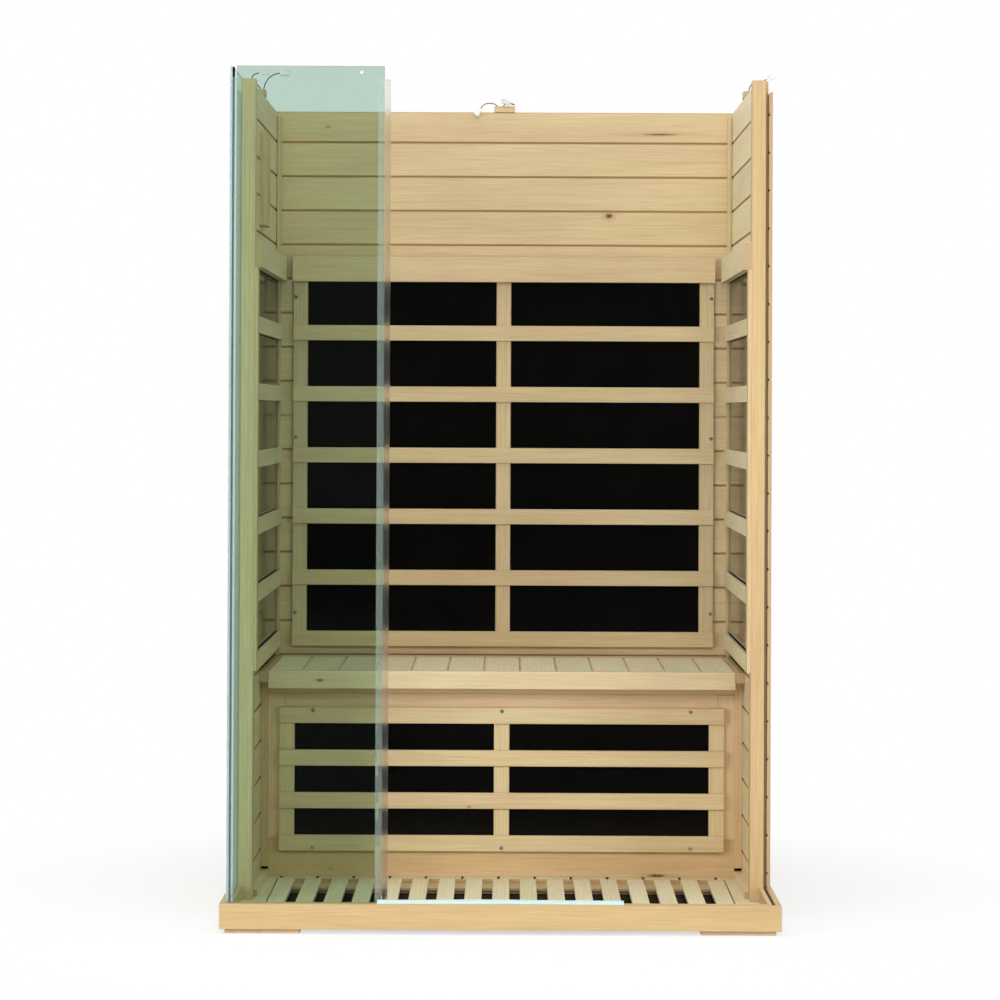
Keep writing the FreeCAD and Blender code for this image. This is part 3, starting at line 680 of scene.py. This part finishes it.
# Building of pieces
def finish_mesh(name, made, materials, smooth=True):
    """Turns a bmesh into a piece of the scene."""
    mesh = bpy.data.meshes.new(name)
    bmesh.ops.recalc_face_normals(made, faces=made.faces)
    made.to_mesh(mesh)
    made.free()
    for item in materials:
        mesh.materials.append(item)
    for face in mesh.polygons:
        face.use_smooth = smooth
    piece = bpy.data.objects.new(name, mesh)
    scene.collection.objects.link(piece)
    return piece


def ridden(piece, node_name):
    """The piece moves with the cabin and stands for a CAD node."""
    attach(piece, "cabin")
    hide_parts(node_name)


def add_box(made, low, high, place):
    """A box between two corners, put in place by a matrix."""
    corners = [made.verts.new(place @ Vector((x, y, z)))
               for x in (low[0], high[0]) for y in (low[1], high[1]) for z in (low[2], high[2])]
    for loop in ((0, 1, 3, 2), (4, 6, 7, 5), (0, 4, 5, 1), (2, 3, 7, 6), (0, 2, 6, 4), (1, 5, 7, 3)):
        made.faces.new([corners[k] for k in loop])


def add_bar(made, rings, material_index=0):
    """A closed bar through rings of corners."""
    faces = [made.faces.new(rings[0]), made.faces.new(rings[-1])]
    for first, second in zip(rings[:-1], rings[1:]):
        for k in range(len(first)):
            after = (k + 1) % len(first)
            faces.append(made.faces.new((first[k], first[after], second[after], second[k])))
    for face in faces:
        face.material_index = material_index


def add_profile(made, outline, low, high, material_index=0):
    """An upright bar with the given outline."""
    rings = [[made.verts.new((x, y, z)) for x, y in outline] for z in (low, high)]
    add_bar(made, rings, material_index)


# Seals: lengths in metres, angle in degrees
SEAL_LEG = 0.014
SEAL_WALL = 0.0012
SEAL_TIP = 0.0012
LIP_LOBE = 0.0050
LIP_WEB = 0.0012
LIP_NOSE = 0.0014
CORE_DIP = 0.0008
SEAL_EASE = 0.0005
FINE_EASE = 0.0003
SEAL_ANGLE = 40.0

# Strip: bow and width in metres, its waves, and its section in parts of the width and height
STRIP_BOW = 0.005
STRIP_WIDTH = 0.006
STRIP_STATIONS = 72
WAVE_DEPTH = 0.10
WAVE_TURN = 9.0
WAVE_START = 0.6
STRIP_SECTION = ((0.0, 0.0), (1.0, 0.0), (1.0, 0.26), (0.72, 0.36), (0.66, 0.80), (0.80, 0.90), (0.74, 1.0),
                 (0.26, 1.0), (0.20, 0.90), (0.34, 0.80), (0.28, 0.36), (0.0, 0.26))


def door_seal():
    """Clear push-on channel over the free edge of the pane, with a fin towards the doorway."""
    (x0, y0, z0), (x1, y1, z1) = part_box("door_edge_seal")
    root = x0 + SEAL_LEG
    web = root + SEAL_WALL
    middle = (y0 + y1) / 2.0
    channel = ((x0, y0), (web, y0), (web, y1), (x0, y1), (x0, y1 - SEAL_WALL), (root, y1 - SEAL_WALL),
               (root, y0 + SEAL_WALL), (x0, y0 + SEAL_WALL))
    fin = ((web, y0 + SEAL_WALL), (x1, middle - SEAL_TIP), (x1, middle + SEAL_TIP), (web, y1 - SEAL_WALL))
    made = bmesh.new()
    add_profile(made, channel, z0, z1)
    add_profile(made, fin, z0, z1, material_index=1)
    piece = finish_mesh("door_edge_seal_profile", made, [SEAL_CLEAR, FIN_CLEAR], smooth=False)
    bevelled(piece, "round", SEAL_EASE, segments=3, angle=SEAL_ANGLE)
    ridden(piece, "door_edge_seal")


def corner_lips():
    """Clear lip with two soft lobes."""
    (x0, y0, z0), (x1, y1, z1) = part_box("corner_seal_profile")
    left = x0 + LIP_LOBE
    right = x1 - LIP_LOBE
    web = y1 - LIP_WEB
    nose = y0 + LIP_NOSE
    outline = ((x0, y1), (x0, nose), (x0 + LIP_NOSE, y0), (left - LIP_NOSE, y0), (left, nose), (left, web),
               (right, web), (right, nose), (right + LIP_NOSE, y0), (x1 - LIP_NOSE, y0), (x1, nose), (x1, y1))
    made = bmesh.new()
    add_profile(made, outline, z0, z1)
    piece = finish_mesh("corner_seal_lips", made, [LIP_CLEAR], smooth=False)
    bevelled(piece, "round", SEAL_EASE, segments=3, angle=SEAL_ANGLE)
    ridden(piece, "corner_seal_profile")


def corner_core():
    """Black core with a dip in each side and in its back."""
    (x0, y0, z0), (x1, y1, z1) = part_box("corner_seal_core")
    dip = CORE_DIP
    middle = (x0 + x1) / 2.0
    waist = (y0 + y1) / 2.0
    outline = ((x0 + dip, y0), (x1 - dip, y0), (x1, y0 + dip), (x1, waist - dip), (x1 - dip, waist),
               (x1, waist + dip), (x1, y1 - dip), (x1 - dip, y1), (middle, y1 - dip), (x0 + dip, y1),
               (x0, y1 - dip), (x0, waist + dip), (x0 + dip, waist), (x0, waist - dip), (x0, y0 + dip))
    made = bmesh.new()
    add_profile(made, outline, z0, z1)
    piece = finish_mesh("corner_seal_bulb", made, [SEAL_BLACK], smooth=False)
    bevelled(piece, "round", FINE_EASE, segments=2, angle=SEAL_ANGLE)
    ridden(piece, "corner_seal_core")


def door_strip():
    """Loose clear strip on the sill: a flat foot with an upright rib, in a bow and with slow waves."""
    low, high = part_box("threshold_strip")
    made = bmesh.new()
    rings = []
    for k in range(STRIP_STATIONS + 1):
        share = k / STRIP_STATIONS
        x = low[0] + share * (high[0] - low[0])
        y = low[1] + STRIP_BOW * (1.0 - (2.0 * share - 1.0) ** 2)
        squeeze = 1.0 - WAVE_DEPTH * (0.5 + 0.5 * math.sin(WAVE_TURN * share + WAVE_START))
        tall = (high[2] - low[2]) * squeeze
        rings.append([made.verts.new((x, y + STRIP_WIDTH * a, low[2] + tall * b)) for a, b in STRIP_SECTION])
    add_bar(made, rings)
    piece = finish_mesh("door_strip", made, [STRIP_CLEAR], smooth=False)
    bevelled(piece, "round", FINE_EASE, segments=2, angle=SEAL_ANGLE)
    ridden(piece, "threshold_strip")


# Screw heads: lengths in metres, and the turn from one head to the next in radians
SCREW_RADIUS = 0.0045
SCREW_DOME = 0.0020
CROSS_SINK = 0.0013
CROSS_LENGTH = 0.0024
CROSS_WIDTH = 0.0006
SCREW_SIDES = 48
SCREW_RINGS = 12
SCREW_TURN = 0.7


def screw_places():
    """Middle of the foot of each screw head, from the box round each solid."""
    mesh = cad["guard_screws"].data
    places = []
    for faces in boards(mesh):
        low, high = extent(mesh, faces)
        x = (low[0] + high[0]) / 2.0
        z = (low[2] + high[2]) / 2.0
        places.append(Vector((x, low[1] + SCREW_DOME, z)))
    return places


def screw_ring(made, place, share, turn):
    """One ring of a screw head's dome, sunk where the cross is."""
    radius = SCREW_RADIUS * share
    dome = SCREW_DOME * math.sqrt(max(0.0, 1.0 - share ** 4))
    ring = []
    for k in range(SCREW_SIDES):
        angle = 2.0 * math.pi * k / SCREW_SIDES
        across = abs(radius * math.cos(angle)), abs(radius * math.sin(angle))
        sunk = min(across) < CROSS_WIDTH and max(across) < CROSS_LENGTH
        rise = dome - (CROSS_SINK if sunk else 0.0)
        spot = Vector((radius * math.cos(angle + turn), -rise, radius * math.sin(angle + turn)))
        ring.append(made.verts.new(place + spot))
    return ring


def screws():
    """Pan heads with a cross recess, each turned a little further."""
    made = bmesh.new()
    for number, place in enumerate(screw_places()):
        shares = [step / SCREW_RINGS for step in range(1, SCREW_RINGS + 1)]
        rings = [screw_ring(made, place, share, SCREW_TURN * number) for share in shares]
        heart = made.verts.new(place + Vector((0.0, CROSS_SINK - SCREW_DOME, 0.0)))
        for k in range(SCREW_SIDES):
            after = (k + 1) % SCREW_SIDES
            made.faces.new((heart, rings[0][k], rings[0][after]))
            for inner, outer in zip(rings[:-1], rings[1:]):
                made.faces.new((inner[k], outer[k], outer[after], inner[after]))
    piece = finish_mesh("screw_heads", made, [ZINC])
    ridden(piece, "guard_screws")


door_seal()
corner_lips()
corner_core()
door_strip()
screws()

# Wires and connectors: lengths in metres, angle in degrees
WIRE = 0.0022
MILLIMETRES_PER_METRE = 1000.0
CONNECTOR_LENGTH = 0.022
CONNECTOR_HEIGHT = 0.013
CONNECTOR_WIDTH = 0.008
CONNECTOR_WALL = 0.0012
CONNECTOR_EASE = 0.0004
CONNECTOR_ANGLE = 30.0
LID_DROP = 0.001
PIN_HALF = 0.0006
PIN_HEIGHT = 0.0012

# Parts of a connector, as shares of its length or the neck's, its half width and its half height
NECK_LENGTH, NECK_WIDTH, NECK_HEIGHT = 0.36, 0.86, 0.84
BODY_TOP = 0.80
LID_HEIGHT = 0.9
LATCH_FROM, LATCH_TO, LATCH_WIDTH = 0.5, 0.8, 0.3
PIN_SIDE, PIN_LENGTH = 0.4, 0.9


# Leads
def connector(name, last, before):
    """Nylon housing on the end of a lead: a neck, a body open at its mouth, a latch and two pins."""
    heading = (Vector(last) - Vector(before)).normalized()
    broad = heading.cross(Vector((0.0, 1.0, 0.0))).normalized()
    place = Matrix.Translation(last) @ Matrix((heading, broad.cross(heading), broad)).transposed().to_4x4()
    wide = CONNECTOR_WIDTH / 2.0
    tall = CONNECTOR_HEIGHT / 2.0
    top = tall * BODY_TOP
    neck = CONNECTOR_LENGTH * NECK_LENGTH
    inside = wide - CONNECTOR_WALL
    made = bmesh.new()
    add_box(made, (0.0, -wide * NECK_WIDTH, -tall * NECK_HEIGHT), (neck, wide * NECK_WIDTH, top), place)
    for side in (-1.0, 1.0):
        y = sorted((side * wide, side * inside))
        add_box(made, (neck, y[0], -tall), (CONNECTOR_LENGTH, y[1], top), place)
        lid = side * tall * LID_HEIGHT - LID_DROP
        z = sorted((lid, lid - side * CONNECTOR_WALL))
        add_box(made, (neck, -inside, z[0]), (CONNECTOR_LENGTH, inside, z[1]), place)
    add_box(made, (neck * LATCH_FROM, -wide * LATCH_WIDTH, top),
            (CONNECTOR_LENGTH * LATCH_TO, wide * LATCH_WIDTH, tall), place)
    for side in (-1.0, 1.0):
        y = side * wide * PIN_SIDE
        add_box(made, (neck, y - PIN_HALF, -PIN_HEIGHT),
                (CONNECTOR_LENGTH * PIN_LENGTH, y + PIN_HALF, 0.0), place)
    piece = finish_mesh(name, made, [NYLON], smooth=False)
    bevelled(piece, "ease", CONNECTOR_EASE, segments=2, angle=CONNECTOR_ANGLE)
    return piece


def round_wire(name, points, slot):
    """A round wire along the points of its route."""
    curve = bpy.data.curves.new(name, "CURVE")
    curve.dimensions = "3D"
    curve.bevel_depth = WIRE / 2.0
    curve.bevel_resolution = 4
    curve.resolution_u = 16
    curve.use_fill_caps = True
    spline = curve.splines.new("NURBS")
    spline.points.add(len(points) - 1)
    for made, point in zip(spline.points, points):
        made.co = (*point, 1.0)
    spline.order_u = 3
    spline.use_endpoint_u = True
    curve.materials.append(WIRES[slot])
    wire = bpy.data.objects.new(name, curve)
    scene.collection.objects.link(wire)
    return wire


def lead(name, start, length, slot, offsets):
    """A lead from its duct to its connector."""
    points = [tuple(a + b / MILLIMETRES_PER_METRE for a, b in zip(start, offset)) for offset in offsets]
    wire = round_wire(name + "_wire", points, slot)
    housing = connector(name + "_connector", points[-1], points[-2])
    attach(wire, "cabin")
    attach(housing, "cabin")
    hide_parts(name)
    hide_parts("lead_connectors")


for item in LEADS:
    lead(*item)

# Floor and world: white where the camera sees them, the fill as light, and dim in reflections of the front
WHITE = (1.0, 1.0, 1.0)
FILL = 0.32
FLOOR_SIZE = 30.0
FLOOR_COLOUR = (0.93, 0.93, 0.93)
FLOOR_REFLECTED = (0.04, 0.04, 0.04)
SHADOW_RANGE = (0.2, 1.4, 0.5, 1.0)
FLOOR_DIM_RANGE = (-0.45, -0.75)
ROOM_RANGE = (-0.85, 0.1, 0.05, 1.0)

# A glossy depth above this has had a reflection
REFLECTED = 0.5

# Lamps: place, point aimed at, width and height, all in metres, and watts
LAMPS = {
    "front": ((0.0, -10.0, 5.4), (0.0, 0.2, 0.9), (4.6, 2.6), 336.0),
    "left": ((-4.0, -4.0, 1.7), (0.0, 0.1, 0.9), (2.2, 2.2), 132.0),
    "right": ((4.0, -4.0, 1.7), (0.0, 0.1, 0.9), (2.2, 2.2), 76.0),
    "top": ((0.0, -0.6, 6.0), (0.0, -0.1, 0.0), (3.4, 3.4), 106.0),
    "high_left": ((-2.8, -0.4, 4.6), (0.5, 0.1, 1.2), (1.6, 1.6), 29.0),
    "high_right": ((2.8, -0.4, 4.6), (-0.5, 0.1, 1.2), (1.6, 1.6), 29.0),
}

# Camera, as the photograph was taken: lengths in its pixels, place in metres, turns in radians
IMAGE = 1000.0
FOCAL = 3080.763
CENTRE_ROW = 383.551
CAMERA_PLACE = (0.014792, -7.100615, 1.116112)
YAW, PITCH, ROLL = -0.0031101, 0.0090839, 0.0043652
SENSOR = 36.0


# Studio
def seen_direct(tree, path):
    """1 for what the camera sees, straight or through glass, and 0 for light and reflections."""
    straight = calc(tree, "LESS_THAN", path["Glossy Depth"], REFLECTED)
    through = calc(tree, "MULTIPLY", path["Is Transmission Ray"], straight)
    return calc(tree, "MAXIMUM", path["Is Camera Ray"], through)


def floor_paint():
    """White paint that keeps the object's shadow near it, and is dim in reflections of the front."""
    made, tree = material("studio_floor")
    place = object_place(tree)
    path = node(tree, "LightPath").outputs
    far = stretch(tree, length_of(tree, place), *SHADOW_RANGE)
    far = calc(tree, "MULTIPLY", far, seen_direct(tree, path))
    ahead = stretch(tree, node(tree, "SeparateXYZ", {0: place}).outputs[1], *FLOOR_DIM_RANGE)
    dim = calc(tree, "MULTIPLY", ahead, calc(tree, "GREATER_THAN", path["Glossy Depth"], REFLECTED))
    matt = node(tree, "BsdfDiffuse", {"Color": blend(tree, dim, FLOOR_COLOUR, FLOOR_REFLECTED)})
    white = node(tree, "Emission", {"Color": rgba(WHITE), "Strength": 1.0})
    output(tree, node(tree, "MixShader", {0: far, 1: matt.outputs[0], 2: white.outputs[0]}).outputs[0])
    return made


def studio_floor():
    """A wide floor that is not part of the object."""
    made = bmesh.new()
    bmesh.ops.create_grid(made, x_segments=1, y_segments=1, size=FLOOR_SIZE)
    floor = finish_mesh("studio_floor", made, [floor_paint()])


def background(tree, strength):
    """White light of some strength from all round."""
    return node(tree, "Background", {"Color": rgba(WHITE), "Strength": strength}).outputs[0]


def studio_world():
    """White for what the camera sees, the fill for light, and a room for reflections."""
    world = bpy.data.worlds.new("studio")
    scene.world = world
    world.use_nodes = True
    tree = world.node_tree
    tree.nodes.clear()
    path = node(tree, "LightPath").outputs
    direction = node(tree, "SeparateXYZ", {0: node(tree, "TexCoord").outputs["Generated"]}).outputs
    fill = background(tree, FILL)
    backdrop = background(tree, 1.0)
    room = background(tree, stretch(tree, direction[1], *ROOM_RANGE))
    lit = node(tree, "MixShader", {0: path["Is Glossy Ray"], 1: fill, 2: room}).outputs[0]
    seen = node(tree, "MixShader", {0: seen_direct(tree, path), 1: lit, 2: backdrop}).outputs[0]
    node(tree, "OutputWorld", {"Surface": seen})


def lamp(name, place, target, size, watts):
    """A rectangular lamp that shows neither in reflections nor through glass."""
    light = bpy.data.lights.new(name, "AREA")
    light.shape = "RECTANGLE"
    light.size, light.size_y = size
    light.energy = watts
    made = bpy.data.objects.new(name, light)
    made.location = place
    made.rotation_euler = (Vector(target) - Vector(place)).to_track_quat("-Z", "Y").to_euler()
    made.visible_glossy = False
    made.visible_transmission = False
    scene.collection.objects.link(made)


def photo_camera():
    """The camera of the photograph."""
    camera = bpy.data.cameras.new("camera")
    camera.sensor_width = SENSOR
    camera.lens = FOCAL * SENSOR / IMAGE
    camera.shift_y = (CENTRE_ROW - IMAGE / 2.0) / IMAGE
    camera.clip_start, camera.clip_end = 0.1, 100.0
    eye = bpy.data.objects.new("camera", camera)
    scene.collection.objects.link(eye)
    side = Vector((math.cos(YAW), -math.sin(YAW), 0.0))
    ahead = Vector((math.sin(YAW), math.cos(YAW), 0.0))
    forward = math.cos(PITCH) * ahead + Vector((0.0, 0.0, math.sin(PITCH)))
    upward = -math.sin(PITCH) * ahead + Vector((0.0, 0.0, math.cos(PITCH)))
    right = math.cos(ROLL) * side + math.sin(ROLL) * upward
    up = math.cos(ROLL) * upward - math.sin(ROLL) * side
    turn = Matrix((right, up, -forward)).transposed().to_4x4()
    eye.matrix_world = Matrix.Translation(CAMERA_PLACE) @ turn
    scene.camera = eye


scene.view_settings.view_transform = "Standard"
studio_floor()
studio_world()
for lamp_name, settings in LAMPS.items():
    lamp(lamp_name, *settings)
photo_camera()
